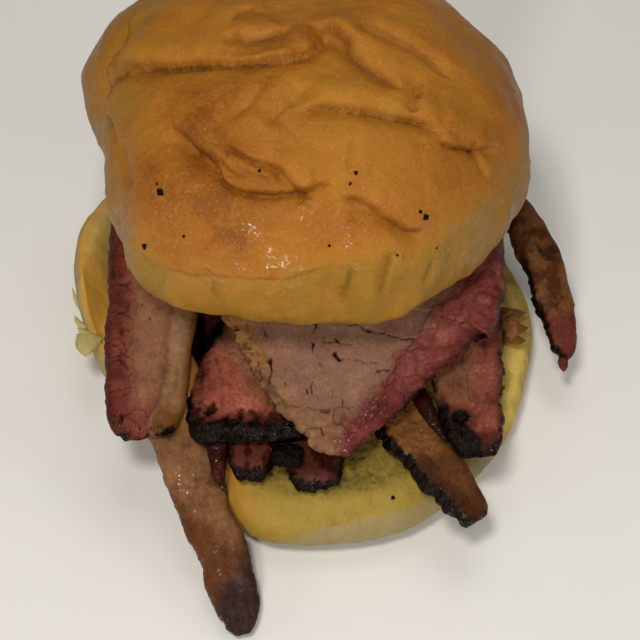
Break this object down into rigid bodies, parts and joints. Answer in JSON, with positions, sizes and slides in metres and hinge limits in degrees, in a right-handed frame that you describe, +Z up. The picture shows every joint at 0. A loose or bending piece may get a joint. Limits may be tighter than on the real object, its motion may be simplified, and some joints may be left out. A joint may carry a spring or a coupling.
{
  "type": "brisket sandwich",
  "caption": "Soft bun with its crown pushed back over a pile of smoked beef slices and fatty strips that hang out over the heel.",
  "frame": {"origin": "centre of the heel's flat underside, where the sandwich rests", "axes": "+Z up through the bun; -Y is the front, where the beef hangs out; +X is to the right seen from the front"},
  "size_m": [0.1243, 0.1463, 0.0931],
  "materials": {
    "bun_crust": "golden baked crust, satin with a light butter shine",
    "bun_heel": "toasted yellow crumb with a pale golden crust below",
    "beef_lean": "moist grey-brown beef with a pink smoke ring and black bark",
    "beef_fat": "glistening rendered fat, amber to dark brown",
    "beef_bark": "black crusty smoked bark"
  },
  "bodies": {
    "root": {"heel": "bun_heel", "crown": "bun_crust", "slice_front": "beef_lean", "slice_left": "beef_lean", "slice_charred": "beef_lean", "slice_right": "beef_lean", "slice_end_left": "beef_lean", "slice_end_middle": "beef_lean", "slice_inner_left": "beef_lean", "slice_inner_right": "beef_lean", "fat_strip_left": "beef_fat", "fat_strip_right": "beef_fat", "strip_far_right": "beef_fat", "scrap_left": "beef_lean", "scrap_right": "beef_lean", "bark_lump": "beef_bark"}
  },
  "joints": []
}
